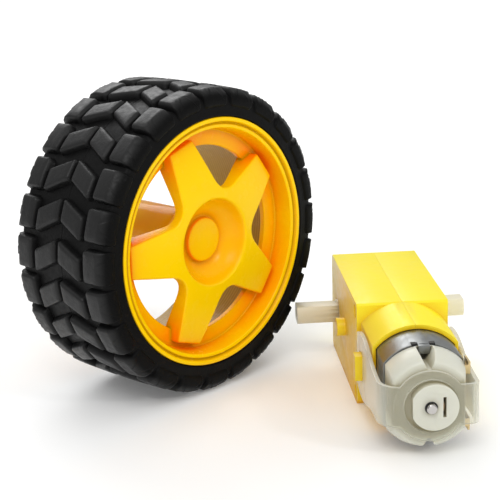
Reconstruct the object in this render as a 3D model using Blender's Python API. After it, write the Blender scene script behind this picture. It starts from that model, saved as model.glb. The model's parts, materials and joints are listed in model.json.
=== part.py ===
"""Robot car drive set: one treaded wheel standing on its tyre, and one right-angle gear motor beside it.

The frame has +Z up, the wheel's axle along Y and the rim's outer face towards -Y.
The motor is drawn in its own frame and turned as a whole: output shaft along X, gearbox towards +Y,
motor end towards -Y. Named sizes are in millimetres, and MM turns them into Blender's metres.
"""

from math import acos, cos, degrees, pi, radians, sin, tan

import bmesh
import bpy
from mathutils import Matrix, Vector
from mathutils.geometry import tessellate_polygon

MM = 0.001
GAP = 0.3
# Turning clearance around a pin, and how far a cutter runs past what it cuts.
CLEARANCE = 0.2
PAST = 1.0
# How far joined solids sink into each other.
SINK = 0.2
# Sides of a small, a middling and a large round.
FINE = 16
ROUND = 24
LARGE = 48

# Where the two halves of the set stand, on the floor at Z = 0.
WHEEL_AT = (-10.32, 31.14)
MOTOR_FROM_WHEEL = (17.73, -48.48)
MOTOR_YAW = -42.67

# Wheel.
TYRE_RADIUS = 32.75
TYRE_HALF_WIDTH = 13.6
CARCASS_RADIUS = 31.2
RIM_SEAT = 26.2
RIM_FACE = 13.3
LEDGE_LEVEL = 8.6
LEDGE_RADIUS = 20.0
LIP_RADIUS = 25.5
GROOVE_LEVEL = 12.7
WALL_TOP_RADIUS = 24.0
WALL_FOOT_RADIUS = 23.4
BARREL_RADIUS = 24.7
SPOKES = 5
FIRST_SPOKE = 36
SPOKE_END = 22.2
SPOKE_END_HALF = 3.45
SPOKE_ROOT_HALF = 4.9
SPOKE_ROOT_REACH = 12.0
CROTCH_RADIUS = 11.0
STAR_TOP = 13.0
STAR_EDGE = 10.6
STAR_BACK = 5.4
DISH_BACK = 7.0
HUB_RADIUS = 5.6
HUB_BACK = -13.2
BOWL_RADIUS = 9.5
BOWL_FLOOR = 8.5
BORE_FLOOR = -3.0
BORE_ROOM = 0.1
PLUG_RADIUS = 4.7
PLUG_LEVEL = 9.7
PITCHES = 24
BLOCK_DEPTH = 1.6

# Gear motor: gearbox.
BOX_HALF = 9.45
BOX_LENGTH = 38.3
BOX_HEIGHT = 22.0
AXIS_Z = BOX_HEIGHT / 2
WALL = 1.6
SOCKET_LENGTH = 14.5
SOCKET_RADIUS = 11.0
SOCKET_HALF = 8.5
CAN_ROOM = 0.15
TAB_LENGTH = 5.0
TAB_HALF = 3.2
TAB_THICKNESS = 3.0
TAB_HOLE_REACH = 2.4
HOLE_RADIUS = 1.5
MOUNT_HOLE_Y = 2.4
MOUNT_HOLE_RISE = 8.75
PEG_RADIUS = 2.0
PEG_LENGTH = 1.8
PEG_FROM_SHAFT = 11.0
LUG_REACH = 11.0
LUG_MIDDLE_Y = -6.5
LUG_HALF_LENGTH = 1.4
LUG_HALF_HEIGHT = 2.6
CORNER = 1.0
TOP_CORNER = 0.4
CHAMBER_START = 4.6
NECK_HALF = 4.5
BOSS_HOLE_RADIUS = 3.3
POST_RADIUS = 1.6
SCREW_POST_RADIUS = 1.95
SCREW_RADIUS = 0.85
SCREW_HOLE_RADIUS = 1.1
SCREW_HEAD_RADIUS = 1.95
SCREW_HEAD_DEPTH = 0.7
SCREW_HEAD_SUNK = 0.2
CROSS_REACH = 1.2
CROSS_HALF_WIDTH = 0.2
CROSS_DEPTH = 0.4
SCREW_TIP = -6.5
SCREWS = ((35.6, 3.2), (35.6, 18.8), (16.4, 19.2))

# Gear train, from the output shaft back to the motor.
SHAFT_Y = 29.5
SHAFT_REACH = 18.8
SHAFT_RADIUS = 2.7
SHAFT_FLAT = 1.9
CORE_RADIUS = 1.3
CORE_END = 7.0
SHOULDER = BOX_HALF + GAP
PILOT_RADIUS = 0.85
PILOT_DEPTH = 6.0
GEAR_MODULE = 0.35
WHEEL_TEETH = 40
PINION_TEETH = 10
SPACING = (WHEEL_TEETH + PINION_TEETH) * GEAR_MODULE / 2
MIDDLE_Y = SHAFT_Y - SPACING
CROWN_Y = MIDDLE_Y - SPACING
CROWN_MODULE = 0.5
CROWN_TEETH = 24
MOTOR_TEETH = 8
TOOTH_SHIFT = 0.4
BACKLASH = 0.06
ADDENDUM = 0.85
DEDENDUM = 1.25
PRESSURE = radians(20)
PIN_RADIUS = 0.75
PIN_REACH = BOX_HALF - 0.7
CROWN_DISC_RADIUS = 6.8
CROWN_DISC = (-4.3, -2.85)
CROWN_TOOTH_LEVELS = (-2.95, -1.8)
CROWN_TOOTH_RADII = (5.2, 6.7)
CROWN_BACKLASH = 0.16
CROWN_PITCH_DROP = 2.0
HUB_OF_CROWN = 2.0

# Motor.
CAN_RADIUS = 10.0
CAN_FLAT = 7.7
CAN_WALL = 0.6
CAN_FRONT = -0.4
CAN_FACE = 0.8
CAN_REAR = -22.5
CAP_REAR = -28.6
STRAP_REAR = -29.9
BOSS_REAR = -30.6
BOSS_RADIUS = 4.6
BOSS_MIDDLE = 0.7
BOSS_FLAT = -3.5
BUSH_RADIUS = 2.6
BUSH_ROOM = 0.15
STRIP_REAR = -25.7
STRIP_FRONT = -25.3
BRUSH_REACH = 3.3
TAB_HALF_WIDTH = 1.1
RELIEF_HALF_WIDTH = 0.6
STRAP_INNER = 8.8
STRAP_OUTER = 9.6
STRAP_FRONT = -0.6
STRAP_BEND = 2.6
RING_RADIUS = 7.0
RING_HOLE_RADIUS = 5.2
MAGNET_RADIUS = 9.2
MAGNET_HALF_ANGLE = 44
POLES = 3
POLE_HALF_ANGLE = 46
POLE_SHOE_RADIUS = 5.6
POLE_HALF_WIDTH = 1.2
CORE_HUB_RADIUS = 2.2
SEGMENT_RADII = (1.8, 2.4)
SEGMENT_HALF_ANGLE = 54
ROTOR_RADIUS = 6.5
ROTOR_FRONT = -5.0
ROTOR_REAR = -17.0
MOTOR_SHAFT_RADIUS = 1.0
MOTOR_SHAFT_REAR = -31.6
MOTOR_SHAFT_FRONT = 7.0


# Materials -----------------------------------------------------------------------------------------


def material(name, colour, roughness, metallic=0.0):
    made = bpy.data.materials.new(name)
    made.use_nodes = True
    shader = made.node_tree.nodes["Principled BSDF"]
    shader.inputs["Base Color"].default_value = (*colour, 1.0)
    shader.inputs["Roughness"].default_value = roughness
    shader.inputs["Metallic"].default_value = metallic
    made.diffuse_color = (*colour, 1.0)
    return made


# Outlines, as lists of two coordinates --------------------------------------------------------------


def arc(radius, start, end, steps, centre=(0.0, 0.0)):
    """Points from start to end, in degrees, both ends included."""
    angles = [radians(start + (end - start) * k / steps) for k in range(steps + 1)]
    return [(centre[0] + radius * cos(a), centre[1] + radius * sin(a)) for a in angles]


def circle(radius, centre=(0.0, 0.0), steps=ROUND):
    return arc(radius, 0, 360, steps, centre)[:-1]


def rectangle(low, high):
    return [(low[0], low[1]), (high[0], low[1]), (high[0], high[1]), (low[0], high[1])]


def flatted(radius, half, centre=(0.0, 0.0), steps=10):
    """A circle cut by two flats on its left and right sides."""
    edge = 90 - degrees(acos(half / radius))
    top = arc(radius, 90 - edge, 90 + edge, steps, centre)
    bottom = arc(radius, 270 - edge, 270 + edge, steps, centre)
    return top + bottom


def swapped(outline):
    return [(q, p) for p, q in outline]


def gear_outline(teeth, module, shift, phase):
    """A coarse involute spur gear whose first tooth points at phase degrees."""
    pitch = teeth * module / 2
    base = pitch * cos(PRESSURE)
    root = pitch - module * (DEDENDUM - shift)
    tip = pitch + module * (ADDENDUM + shift)
    half = (pi / 2 + 2 * shift * tan(PRESSURE)) / teeth - BACKLASH / (2 * pitch)

    def half_angle(radius):
        roll = acos(min(1.0, base / radius))
        return half + tan(PRESSURE) - PRESSURE - (tan(roll) - roll)

    start = max(base, root)
    middle = [(start + tip) / 2] if teeth < FINE else []
    flank = [(root, half_angle(start)), *((r, half_angle(r)) for r in (*middle, tip))]
    tooth = [(r, -a) for r, a in flank] + [(r, a) for r, a in reversed(flank)]
    middles = [radians(phase) + 2 * pi * k / teeth for k in range(teeth)]
    return [(r * cos(m + a), r * sin(m + a)) for m in middles for r, a in tooth]


def star_outline():
    """Tapered spokes joined by rounded inner corners."""
    step = 360 / SPOKES
    points = []
    for k in range(SPOKES):
        spoke = FIRST_SPOKE + step * k
        turn = Matrix.Rotation(radians(spoke), 2)
        root, end = (SPOKE_ROOT_REACH, SPOKE_ROOT_HALF), (SPOKE_END, SPOKE_END_HALF)
        corners = ((root[0], -root[1]), (end[0], -end[1]), end, root)
        points += [tuple(turn @ Vector(corner)) for corner in corners]
        for lift, spread in ((0.6, -6.5), (0, 0), (0.6, 6.5)):
            angle = radians(spoke + step / 2 + spread)
            points.append(((CROTCH_RADIUS + lift) * cos(angle), (CROTCH_RADIUS + lift) * sin(angle)))
    return points


# Solids, drawn in millimetres ------------------------------------------------------------------------


def put(axis, p, q, along):
    """Outline point (p, q) at a height along an axis, as (y, z), (x, z) or (x, y)."""
    places = {"X": (along, p, q), "Y": (p, along, q), "Z": (p, q, along)}
    return Vector(places[axis]) * MM


def from_bmesh(shape):
    bmesh.ops.recalc_face_normals(shape, faces=shape.faces)
    mesh = bpy.data.meshes.new("solid")
    shape.to_mesh(mesh)
    shape.free()
    made = bpy.data.objects.new("solid", mesh)
    bpy.context.scene.collection.objects.link(made)
    return made


def prism(axis, outline, low, high, holes=()):
    """An outline, less its holes, extruded from low to high along an axis."""
    loops = [list(outline), *(list(hole) for hole in holes)]
    shape = bmesh.new()
    levels = []
    for level in (low, high):
        levels.append([shape.verts.new(put(axis, p, q, level)) for loop in loops for p, q in loop])
    for corners in tessellate_polygon([[Vector((p, q, 0)) for p, q in loop] for loop in loops]):
        for level in levels:
            shape.faces.new([level[c] for c in corners])
    start = 0
    for loop in loops:
        count = len(loop)
        for k in range(count):
            a, b = start + k, start + (k + 1) % count
            shape.faces.new((levels[0][a], levels[0][b], levels[1][b], levels[1][a]))
        start += count
    return from_bmesh(shape)


def lathe(axis, profile, segments=ROUND, centre=(0.0, 0.0)):
    """A closed profile of (along, radius) turned about an axis; radius 0 makes a pole."""
    shape = bmesh.new()
    rings = []
    for along, radius in profile:
        count = segments if radius > 0 else 1
        turns = [2 * pi * k / count for k in range(count)]
        rings.append([shape.verts.new(put(axis, centre[0] + radius * cos(t), centre[1] + radius * sin(t),
                                          along)) for t in turns])
    for first, second in zip(rings, rings[1:] + rings[:1]):
        if len(first) == len(second) == 1:
            continue
        for k in range(segments):
            ends = (first[k % len(first)], first[(k + 1) % len(first)],
                    second[(k + 1) % len(second)], second[k % len(second)])
            shape.faces.new(dict.fromkeys(ends))
    return from_bmesh(shape)


def rod(axis, radius, low, high, centre=(0.0, 0.0), steps=ROUND):
    return prism(axis, circle(radius, centre, steps), low, high)


def box(low, high):
    return prism("Z", rectangle(low[:2], high[:2]), low[2], high[2])


def combine(target, operation, *others):
    """Joins the others to the target, or cuts them from it, and removes them."""
    for other in others:
        step = target.modifiers.new(operation, "BOOLEAN")
        step.operation = operation
        step.object = other
        step.solver = "EXACT"
    bpy.context.view_layer.update()
    graph = bpy.context.evaluated_depsgraph_get()
    result = bpy.data.meshes.new_from_object(target.evaluated_get(graph))
    target.modifiers.clear()
    target.data = result
    for other in others:
        bpy.data.objects.remove(other)
    return target


def join(target, *others):
    return combine(target, "UNION", *others)


def cut(target, *others):
    return combine(target, "DIFFERENCE", *others)


def keep(target, *others):
    return combine(target, "INTERSECT", *others)


def name_piece(solid, name, look, parent, origin=(0.0, 0.0, 0.0)):
    """Names a finished solid, hangs it from its frame and puts its origin where it turns."""
    shift = Vector(origin) * MM
    solid.data.transform(Matrix.Translation(-shift))
    solid.location = shift
    solid.name = name
    solid.data.name = name
    solid.parent = parent
    solid.data.materials.clear()
    solid.data.materials.append(look)
    solid.data.shade_smooth()
    solid.data.set_sharp_from_angle(angle=radians(30))
    return solid


def frame_at(name, place, yaw=0.0):
    made = bpy.data.objects.new(name, None)
    made.location = Vector(place) * MM
    made.rotation_euler = (0.0, 0.0, radians(yaw))
    bpy.context.scene.collection.objects.link(made)
    return made


# Wheel. Axial positions count outwards, so they are negative Y ---------------------------------------


def tread_block(stations):
    """A block through stations of (axial, first angle, last angle, top radius)."""
    shape = bmesh.new()
    sections = []
    for axial, first, last, top in stations:
        foot = CARCASS_RADIUS - BLOCK_DEPTH
        corners = ((first, top), (last, top), (last, foot), (first, foot))
        sections.append([shape.verts.new(Vector((r * cos(radians(a)), -axial, r * sin(radians(a)))) * MM)
                         for a, r in corners])
    for one, two in zip(sections, sections[1:]):
        for k in range(4):
            shape.faces.new((one[k], one[(k + 1) % 4], two[(k + 1) % 4], two[k]))
    shape.faces.new(sections[0])
    shape.faces.new(sections[-1])
    return from_bmesh(shape)


def make_tyre(look, parent):
    """A carcass with four rows of blocks that form a chevron pointing against the angle."""
    half = TYRE_HALF_WIDTH
    shoulder = [(half - 0.6, RIM_SEAT + GAP), (half - 0.2, 27.6), (half - 0.1, 29.2), (half - 1.2, 30.6),
                (9.0, CARCASS_RADIUS)]
    profile = [(-a, r) for a, r in shoulder] + [(a, r) for a, r in reversed(shoulder)]
    carcass = lathe("Y", profile, segments=2 * PITCHES)
    slanted = [(0.65, 5.6, 13.4, TYRE_RADIUS), (6.5, 10.9, 19.4, TYRE_RADIUS - 0.1)]
    outer = [(8.0, 7.2, 17.9, TYRE_RADIUS - 0.2), (11.6, 7.2, 17.9, TYRE_RADIUS - 0.7),
             (half, 7.6, 17.5, 30.2)]
    blocks = []
    for pitch in range(PITCHES):
        turn = 360 / PITCHES * pitch
        for row in (slanted, outer):
            for side in (-1, 1):
                blocks.append(tread_block([(side * a, t0 + turn, t1 + turn, r) for a, t0, t1, r in row]))
    join(carcass, gather(blocks))
    return name_piece(carcass, "tyre", look, parent)


def gather(solids):
    """One object that holds several separate closed shells, for a single Boolean."""
    shape = bmesh.new()
    for solid in solids:
        shape.from_mesh(solid.data)
        bpy.data.objects.remove(solid)
    return from_bmesh(shape)


def make_rim(look, parent):
    """Barrel, lip, groove, wall and ledge, with a star that deepens outwards, a bowl and a hub behind it."""
    ring = [(HUB_BACK, RIM_SEAT), (RIM_FACE, RIM_SEAT), (RIM_FACE, LIP_RADIUS),
            (GROOVE_LEVEL, LIP_RADIUS - 0.4), (GROOVE_LEVEL, WALL_TOP_RADIUS), (LEDGE_LEVEL, WALL_FOOT_RADIUS),
            (LEDGE_LEVEL, LEDGE_RADIUS), (LEDGE_LEVEL - 1.4, LEDGE_RADIUS), (LEDGE_LEVEL - 2, 23.6),
            (LEDGE_LEVEL - 3.6, BARREL_RADIUS), (HUB_BACK, BARREL_RADIUS)]
    rim = lathe("Y", [(-a, r) for a, r in ring], segments=LARGE)
    star = prism("Y", star_outline(), -RIM_FACE - PAST, -STAR_BACK)
    dome = [(STAR_BACK - PAST, 0), (STAR_BACK - PAST, RIM_SEAT), (STAR_EDGE, RIM_SEAT), (STAR_TOP, BOWL_RADIUS),
            (STAR_TOP, 0)]
    keep(star, lathe("Y", [(-a, r) for a, r in dome], segments=2 * ROUND))
    bowl = [(STAR_TOP + PAST, 0), (STAR_TOP + PAST, BOWL_RADIUS + GAP), (STAR_TOP, BOWL_RADIUS),
            (STAR_TOP - 1.6, 8.6), (STAR_TOP - 3.1, 7.4), (BOWL_FLOOR + 0.3, 6.0), (BOWL_FLOOR, PLUG_RADIUS + 0.2),
            (PLUG_LEVEL, PLUG_RADIUS), (PLUG_LEVEL, 0)]
    back = [(STAR_BACK - 2 * PAST, HUB_RADIUS - PAST), (DISH_BACK, HUB_RADIUS - PAST), (DISH_BACK, 6.6),
            (DISH_BACK + 0.7, 7.9), (10.2, 10.0), (10.6, 11.4), (STAR_BACK, SPOKE_END + PAST),
            (STAR_BACK - 2 * PAST, RIM_SEAT)]
    cut(star, lathe("Y", [(-a, r) for a, r in bowl]), lathe("Y", [(-a, r) for a, r in back]))
    hub = rod("Y", HUB_RADIUS, -DISH_BACK - SINK, -HUB_BACK)
    join(rim, star, hub)
    bore = flatted(SHAFT_RADIUS + BORE_ROOM, SHAFT_FLAT + BORE_ROOM)
    cut(rim, prism("Y", swapped(bore), -BORE_FLOOR, PAST - HUB_BACK))
    return name_piece(rim, "rim", look, parent)


# Gearbox ------------------------------------------------------------------------------------------


def make_shell(side, look, parent):
    """One half of the gearbox: side -1 is the left half, +1 the right half with the screw heads."""
    split = GAP / 2
    outer = BOX_HALF
    bed = outer - WALL + SINK

    def span(near, far):
        return sorted((side * near, side * far))

    profile = [(CORNER, 0), (BOX_LENGTH - CORNER, 0), (BOX_LENGTH, CORNER), (BOX_LENGTH, BOX_HEIGHT - CORNER),
               (BOX_LENGTH - CORNER, BOX_HEIGHT), (TOP_CORNER, BOX_HEIGHT), (0, BOX_HEIGHT - TOP_CORNER),
               (0, CORNER)]
    shell = prism("X", profile, *span(split, outer))
    arch = flatted(SOCKET_RADIUS, SOCKET_HALF, (0, AXIS_Z), FINE)
    socket = prism("Y", arch, -SOCKET_LENGTH, SINK)
    low, high = span(split, outer + PAST)
    keep(socket, box((low, -SOCKET_LENGTH - PAST, -PAST), (high, PAST, BOX_HEIGHT + PAST)))
    low, high = span(SOCKET_HALF - SINK, LUG_REACH)
    lug = box((low, LUG_MIDDLE_Y - LUG_HALF_LENGTH, AXIS_Z - LUG_HALF_HEIGHT),
              (high, LUG_MIDDLE_Y + LUG_HALF_LENGTH, AXIS_Z + LUG_HALF_HEIGHT))
    join(shell, socket, lug)

    low, high = span(-PAST, outer - WALL)
    chamber = box((low, CHAMBER_START, WALL), (high, BOX_LENGTH - WALL, BOX_HEIGHT - WALL))
    neck = box((low, WALL, AXIS_Z - NECK_HALF), (high, CHAMBER_START + SINK, AXIS_Z + NECK_HALF))
    can_fit = flatted(CAN_RADIUS + CAN_ROOM, CAN_FLAT + CAN_ROOM, (0, AXIS_Z), FINE)
    can_room = prism("Y", can_fit, -SOCKET_LENGTH - PAST, CAN_ROOM - GAP)
    boss_hole = rod("Y", BOSS_HOLE_RADIUS, -PAST, WALL + PAST, (0, AXIS_Z))
    cut(shell, chamber, neck, can_room, boss_hole)

    pins = ((MIDDLE_Y, 3.8 if side < 0 else 5.8), (CROWN_Y, 6.3 if side < 0 else 1.7))
    posts = [rod("X", POST_RADIUS, *span(near, bed), (y, AXIS_Z), FINE) for y, near in pins]
    posts += [rod("X", SCREW_POST_RADIUS, *span(split, bed), place, FINE) for place in SCREWS]
    join(shell, *posts)
    if side < 0:
        tab = prism("Z", rectangle((-TAB_THICKNESS, BOX_LENGTH - SINK), (-split, BOX_LENGTH + TAB_LENGTH)),
                    AXIS_Z - TAB_HALF, AXIS_Z + TAB_HALF)
        peg = rod("X", PEG_RADIUS, *span(outer - SINK, outer + PEG_LENGTH), (SHAFT_Y - PEG_FROM_SHAFT, AXIS_Z))
        join(shell, tab, peg)
        tab_middle = (BOX_LENGTH + TAB_HOLE_REACH, AXIS_Z)
        cut(shell, rod("X", HOLE_RADIUS, -TAB_THICKNESS - PAST, PAST, tab_middle))

    holes = [rod("X", SHAFT_RADIUS + CLEARANCE, *span(outer - WALL - PAST, outer + PAST), (SHAFT_Y, AXIS_Z))]
    holes += [rod("X", HOLE_RADIUS, *span(-PAST, outer + PAST), (MOUNT_HOLE_Y, AXIS_Z + rise))
              for rise in (-MOUNT_HOLE_RISE, MOUNT_HOLE_RISE)]
    holes += [rod("X", PIN_RADIUS + CLEARANCE, *span(near - PAST, PIN_REACH + GAP), (y, AXIS_Z), FINE)
              for y, near in pins]
    reach = outer - PAST if side < 0 else outer + PAST
    holes += [rod("X", SCREW_HOLE_RADIUS, *span(-PAST, reach), place, FINE) for place in SCREWS]
    if side > 0:
        sunk = outer - SCREW_HEAD_SUNK - SCREW_HEAD_DEPTH - GAP / 2
        holes += [rod("X", SCREW_HEAD_RADIUS + GAP, *span(sunk, outer + PAST), place) for place in SCREWS]
    cut(shell, *holes)
    name = "gearbox_shell_left" if side < 0 else "gearbox_shell_right"
    return name_piece(shell, name, look, parent)


def make_case_screws(look, parent):
    top = BOX_HALF - SCREW_HEAD_SUNK
    seat = top - SCREW_HEAD_DEPTH
    profile = [(SCREW_TIP, 0), (SCREW_TIP + SCREW_RADIUS, SCREW_RADIUS), (seat, SCREW_RADIUS),
               (seat, SCREW_HEAD_RADIUS), (top, SCREW_HEAD_RADIUS - CROSS_HALF_WIDTH), (top, 0)]
    for number, place in enumerate(SCREWS, 1):
        screw = lathe("X", profile, FINE, place)
        for across, along in ((CROSS_REACH, CROSS_HALF_WIDTH), (CROSS_HALF_WIDTH, CROSS_REACH)):
            cut(screw, box((top - CROSS_DEPTH, place[0] - across, place[1] - along),
                           (top + PAST, place[0] + across, place[1] + along)))
        name_piece(screw, f"case_screw_{number}", look, parent)


def make_pins(look, parent):
    for name, y in (("middle_pin", MIDDLE_Y), ("crown_pin", CROWN_Y)):
        pin = rod("X", PIN_RADIUS, -PIN_REACH, PIN_REACH, (y, AXIS_Z), FINE)
        name_piece(pin, name, look, parent, (0, y, AXIS_Z))


# Gear train -----------------------------------------------------------------------------------------


def spur(teeth, module, shift, low, high, centre, phase):
    outline = gear_outline(teeth, module, shift, phase)
    return prism("X", [(p + centre, q + AXIS_Z) for p, q in outline], low, high)


def double_d(low, high):
    outline = swapped(flatted(SHAFT_RADIUS, SHAFT_FLAT, steps=10))
    return prism("X", [(p + SHAFT_Y, q + AXIS_Z) for p, q in outline], low, high)


def shaft_end(side):
    """The stretch outside the gearbox: two flats and a pilot hole for the wheel's screw."""
    end = double_d(*sorted((side * (SHOULDER - SINK), side * SHAFT_REACH)))
    pilot = sorted((side * (SHAFT_REACH - PILOT_DEPTH), side * (SHAFT_REACH + PAST)))
    return cut(end, rod("X", PILOT_RADIUS, *pilot, (SHAFT_Y, AXIS_Z), FINE))


def make_output(shaft_look, gear_look, parent):
    """The long left shaft, whose core carries the output gear with the right shaft end."""
    centre = (SHAFT_Y, AXIS_Z)
    origin = (0, SHAFT_Y, AXIS_Z)
    step = -0.9
    shaft = rod("X", SHAFT_RADIUS, -SHOULDER, step, centre)
    join(shaft, shaft_end(-1), rod("X", CORE_RADIUS, step - SINK, CORE_END, centre, FINE))
    name_piece(shaft, "output_shaft", shaft_look, parent, origin)

    low, high = 3.4, 5.2
    gear = spur(WHEEL_TEETH, GEAR_MODULE, -TOOTH_SHIFT, low, high, SHAFT_Y, 180 + 180 / WHEEL_TEETH)
    join(gear, rod("X", SHAFT_RADIUS, low - SINK, SHOULDER, centre), shaft_end(1))
    cut(gear, rod("X", CORE_RADIUS + CLEARANCE, low - PAST, CORE_END + GAP, centre, FINE))
    name_piece(gear, "output_gear", gear_look, parent, origin)


def make_middle_gear(look, parent):
    centre = (MIDDLE_Y, AXIS_Z)
    low, high = -0.6, 1.2
    wheel = spur(WHEEL_TEETH, GEAR_MODULE, -TOOTH_SHIFT, low, high, MIDDLE_Y, 180 + 180 / WHEEL_TEETH)
    pinion = spur(PINION_TEETH, GEAR_MODULE, TOOTH_SHIFT, high - SINK, 5.5, MIDDLE_Y, 0)
    hub = rod("X", POST_RADIUS, -3.5, low + SINK, centre, FINE)
    join(wheel, pinion, hub)
    cut(wheel, rod("X", PIN_RADIUS + CLEARANCE, -BOX_HALF, BOX_HALF, centre, FINE))
    name_piece(wheel, "middle_gear", look, parent, (0, MIDDLE_Y, AXIS_Z))


def crown_tooth(turn):
    """One face tooth with straight flanks, as wide as the slot beside it leaves it."""
    root, tip = CROWN_TOOTH_LEVELS
    flank = 2 * tan(PRESSURE)
    depth = {root: flank * ADDENDUM, tip: -flank * (tip + CROWN_PITCH_DROP)}
    space = pi * CROWN_MODULE / 2 + flank * TOOTH_SHIFT * CROWN_MODULE + CROWN_BACKLASH
    shape = bmesh.new()
    corners = []
    for level in (root, tip):
        for radius in CROWN_TOOTH_RADII:
            half = (2 * pi * radius / CROWN_TEETH - space + depth[level]) / 2
            for side in (-1, 1):
                spin = Matrix.Rotation(turn, 2) @ Vector((radius, side * half))
                corners.append(shape.verts.new(put("X", CROWN_Y + spin.x, AXIS_Z + spin.y, level)))
    for face in ((0, 1, 3, 2), (4, 5, 7, 6), (0, 1, 5, 4), (2, 3, 7, 6), (0, 2, 6, 4), (1, 3, 7, 5)):
        shape.faces.new([corners[c] for c in face])
    return from_bmesh(shape)


def make_crown_gear(look, parent):
    centre = (CROWN_Y, AXIS_Z)
    back, face = CROWN_DISC
    disc = rod("X", CROWN_DISC_RADIUS, back, face, centre, LARGE)
    step = 2 * pi / CROWN_TEETH
    teeth = gather([crown_tooth(pi + step * (k + 0.5)) for k in range(CROWN_TEETH)])
    pinion = spur(PINION_TEETH, GEAR_MODULE, TOOTH_SHIFT, face - SINK, 1.4, CROWN_Y, 0)
    join(disc, teeth, pinion, rod("X", HUB_OF_CROWN, -6.0, back + SINK, centre))
    cut(disc, rod("X", PIN_RADIUS + CLEARANCE, -BOX_HALF, BOX_HALF, centre, FINE))
    name_piece(disc, "crown_gear", look, parent, (0, CROWN_Y, AXIS_Z))


# Motor ----------------------------------------------------------------------------------------------


def above_and_below(near, far):
    """Heights from near to far away from the motor's axis, first above it and then below it."""
    return (AXIS_Z + near, AXIS_Z + far), (AXIS_Z - far, AXIS_Z - near)


def make_can(look, parent):
    """A deep-drawn cup with two flats, a front boss, and two crimp tabs between relief slots."""
    centre = (0, AXIS_Z)
    bore = CAN_RADIUS - CAN_WALL
    can = prism("Y", flatted(CAN_RADIUS, CAN_FLAT, centre, FINE), CAN_REAR, CAN_FRONT)
    inside = flatted(bore, CAN_FLAT - CAN_WALL, centre, FINE)
    cut(can, prism("Y", inside, CAN_REAR - PAST, CAN_FRONT - CAN_FACE))
    join(can, rod("Y", 3.0, CAN_FRONT - CAN_FACE / 2, 1.2, centre))
    cut(can, rod("Y", 2.3, CAN_FRONT - CAN_FACE - PAST, 0.8, centre), rod("Y", 1.2, 0.5, 2.0, centre, FINE))
    tab_top = CAN_RADIUS - 0.15
    tabs = [box((-TAB_HALF_WIDTH, CAN_REAR - 1.0, low), (TAB_HALF_WIDTH, CAN_REAR - 0.4, high))
            for low, high in above_and_below(8.2, tab_top)]
    tabs += [box((-TAB_HALF_WIDTH, CAN_REAR - 0.6, low), (TAB_HALF_WIDTH, CAN_REAR + 0.4, high))
             for low, high in above_and_below(bore, tab_top)]
    aside = TAB_HALF_WIDTH + RELIEF_HALF_WIDTH
    slots = [box((x - RELIEF_HALF_WIDTH, CAN_REAR - PAST, low), (x + RELIEF_HALF_WIDTH, CAN_REAR + 1.0, high))
             for low, high in above_and_below(8.8, CAN_RADIUS + PAST) for x in (-aside, aside)]
    cut(can, *slots)
    join(can, *tabs)
    name_piece(can, "motor_can", look, parent)


def make_end_cap(look, parent):
    """A moulded cup that closes the can: skirt, tapered body, notches under the tabs and a boss."""
    centre = (0, AXIS_Z)
    ledge = -26.0
    rim = flatted(CAN_RADIUS - CLEARANCE, CAN_FLAT - CLEARANCE, centre, FINE)
    body = prism("Y", rim, ledge, CAN_REAR - GAP)
    inset = CAN_WALL + CLEARANCE
    skirt = flatted(CAN_RADIUS - inset, CAN_FLAT - inset, centre, FINE)
    nose = flatted(8.6, 7.0, centre, FINE)
    join(body, prism("Y", skirt, CAN_REAR - PAST, CAN_REAR + 3.0), prism("Y", nose, CAP_REAR, ledge + SINK))
    boss = [p for p in circle(BOSS_RADIUS, (BOSS_MIDDLE, AXIS_Z), LARGE) if p[0] > BOSS_FLAT]
    join(body, prism("Y", boss, BOSS_REAR, CAP_REAR + SINK))
    notches = [prism("Y", [(-0.8, tip), (0.8, tip), (3.0, top), (-3.0, top)], CAP_REAR - PAST, CAN_REAR - SINK)
               for tip, top in ((AXIS_Z + 7.0, AXIS_Z + 11.0), (AXIS_Z - 7.0, AXIS_Z - 11.0))]
    hollow = [(x, AXIS_Z + z) for x, z in ((-6.0, -4.6), (-4.4, -6.2), (4.4, -6.2), (6.0, -4.6),
                                           (6.0, 4.6), (4.4, 6.2), (-4.4, 6.2), (-6.0, 4.6))]
    room = prism("Y", hollow, CAP_REAR + 1.4, CAN_REAR + 4)
    slot = box((2.2, BOSS_REAR - PAST, AXIS_Z - 2.0), (2.9, CAP_REAR + 3, AXIS_Z + 2.0))
    tab_slots = [box((5.0, STRIP_REAR - SINK, low), (9.0, STRIP_FRONT + SINK, high))
                 for low, high in above_and_below(4.4, 6.4)]
    bush_seat = rod("Y", BUSH_RADIUS + 0.15, -30.2, ledge, centre)
    shaft_way = rod("Y", MOTOR_SHAFT_RADIUS + CLEARANCE, BOSS_REAR - PAST, -29.0, centre, FINE)
    cut(body, room, *notches, slot, *tab_slots, bush_seat, shaft_way)
    name_piece(body, "end_cap", look, parent)


def make_bushes(look, parent):
    bore = MOTOR_SHAFT_RADIUS + BUSH_ROOM
    sizes = (("front_bush", -1.0, 0.65, 2.15), ("rear_bush", -30.0, -27.6, BUSH_RADIUS))
    for name, rear, front, radius in sizes:
        profile = [(rear, bore), (rear, radius), (front, radius), (front, bore)]
        name_piece(lathe("Y", profile, ROUND, (0, AXIS_Z)), name, look, parent)


def make_magnets(look, clip_look, parent):
    for name, middle in (("magnet_upper", 90), ("magnet_lower", 270)):
        first, last = middle - MAGNET_HALF_ANGLE, middle + MAGNET_HALF_ANGLE
        outline = arc(MAGNET_RADIUS, first, last, 12, (0, AXIS_Z))
        outline += arc(ROTOR_RADIUS + 0.4, last, first, 12, (0, AXIS_Z))
        name_piece(prism("Y", outline, ROTOR_REAR, ROTOR_FRONT), name, look, parent)
    clip = box((-6.95, -15.0, AXIS_Z - 3.6), (-6.75, -7.0, AXIS_Z + 3.6))
    name_piece(clip, "magnet_clip", clip_look, parent)


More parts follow.
